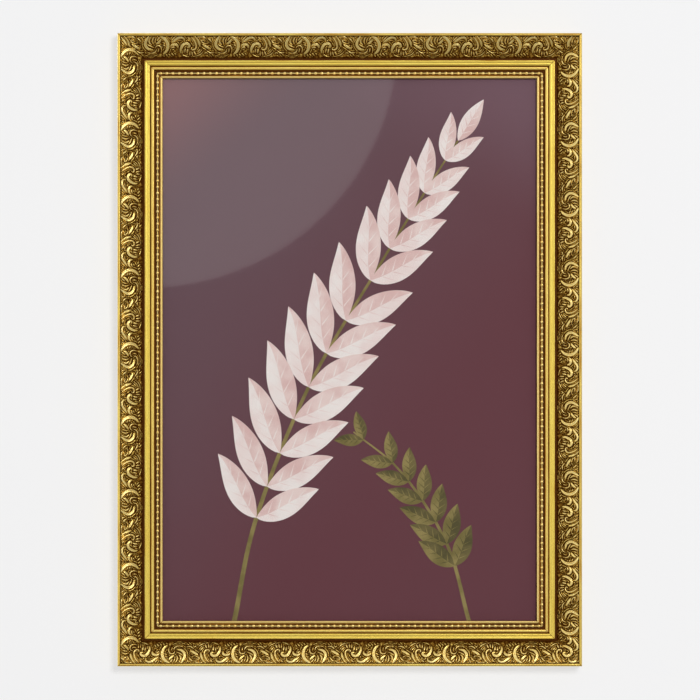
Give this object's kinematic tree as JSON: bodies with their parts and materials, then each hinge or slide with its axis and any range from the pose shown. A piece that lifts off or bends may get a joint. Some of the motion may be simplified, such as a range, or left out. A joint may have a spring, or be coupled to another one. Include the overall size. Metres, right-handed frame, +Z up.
{
  "type": "picture frame",
  "caption": "Upright wall picture frame with a carved and beaded gilt wood moulding, glazed print, backing board, turn buttons and toothed hangers.",
  "frame": {"origin": "on the wall, under the middle notch of the top hanger, where a wall nail carries the frame", "axes": "+X to the viewer's right, +Y back to the wall, +Z up"},
  "size_m": [0.248, 0.018, 0.338],
  "materials": {
    "gilded_wood": "bright gold leaf paint over open-grained wood, bare at the back",
    "gilded_ornament": "pressed composition, gold on the high parts and dark brown wax in the hollows",
    "gilded_beads": "gold with dark wax between the beads",
    "clear_glazing": "clear polished float glass",
    "printed_paper": "matt printed paper",
    "hardboard": "pressed brown fibreboard, smooth",
    "wedge_steel": "bare spring steel edge",
    "plated_button": "nickel-plated pressed steel",
    "plated_screw": "zinc-plated steel",
    "brassed_steel": "brass-plated pressed steel",
    "bumper_rubber": "soft matt rubber"
  },
  "bodies": {
    "frame_body": {"top_rail": "gilded_wood", "top_ornament": "gilded_ornament", "top_beads": "gilded_beads", "bottom_rail": "gilded_wood", "bottom_ornament": "gilded_ornament", "bottom_beads": "gilded_beads", "left_rail": "gilded_wood", "left_ornament": "gilded_ornament", "left_beads": "gilded_beads", "right_rail": "gilded_wood", "right_ornament": "gilded_ornament", "right_beads": "gilded_beads", "glazing": "clear_glazing", "picture_print": "printed_paper", "backing_board": "hardboard", "corner_wedges": "wedge_steel", "button_screws": "plated_screw", "top_hanger": "brassed_steel", "right_hanger": "brassed_steel", "hanger_nails": "brassed_steel", "left_bumper": "bumper_rubber", "right_bumper": "bumper_rubber"},
    "top_left_button": {"top_left_button": "plated_button"},
    "top_right_button": {"top_right_button": "plated_button"},
    "bottom_left_button": {"bottom_left_button": "plated_button"},
    "bottom_right_button": {"bottom_right_button": "plated_button"},
    "left_upper_button": {"left_upper_button": "plated_button"},
    "left_lower_button": {"left_lower_button": "plated_button"},
    "right_upper_button": {"right_upper_button": "plated_button"},
    "right_lower_button": {"right_lower_button": "plated_button"}
  },
  "joints": [
    {"name": "top_left_button_turn", "type": "hinge", "parent": "frame_body", "child": "top_left_button", "pos_m": [-0.06, -0.0024, -0.0001], "axis": [0, 1, 0], "continuous": true},
    {"name": "top_right_button_turn", "type": "hinge", "parent": "frame_body", "child": "top_right_button", "pos_m": [0.06, -0.0024, -0.0001], "axis": [0, 1, 0], "continuous": true},
    {"name": "bottom_left_button_turn", "type": "hinge", "parent": "frame_body", "child": "bottom_left_button", "pos_m": [-0.06, -0.0024, -0.3131], "axis": [0, 1, 0], "continuous": true},
    {"name": "bottom_right_button_turn", "type": "hinge", "parent": "frame_body", "child": "bottom_right_button", "pos_m": [0.06, -0.0024, -0.3131], "axis": [0, 1, 0], "continuous": true},
    {"name": "left_upper_button_turn", "type": "hinge", "parent": "frame_body", "child": "left_upper_button", "pos_m": [-0.1115, -0.0024, -0.0716], "axis": [0, 1, 0], "continuous": true},
    {"name": "left_lower_button_turn", "type": "hinge", "parent": "frame_body", "child": "left_lower_button", "pos_m": [-0.1115, -0.0024, -0.2416], "axis": [0, 1, 0], "continuous": true},
    {"name": "right_upper_button_turn", "type": "hinge", "parent": "frame_body", "child": "right_upper_button", "pos_m": [0.1115, -0.0024, -0.0716], "axis": [0, 1, 0], "continuous": true},
    {"name": "right_lower_button_turn", "type": "hinge", "parent": "frame_body", "child": "right_lower_button", "pos_m": [0.1115, -0.0024, -0.2416], "axis": [0, 1, 0], "continuous": true}
  ]
}
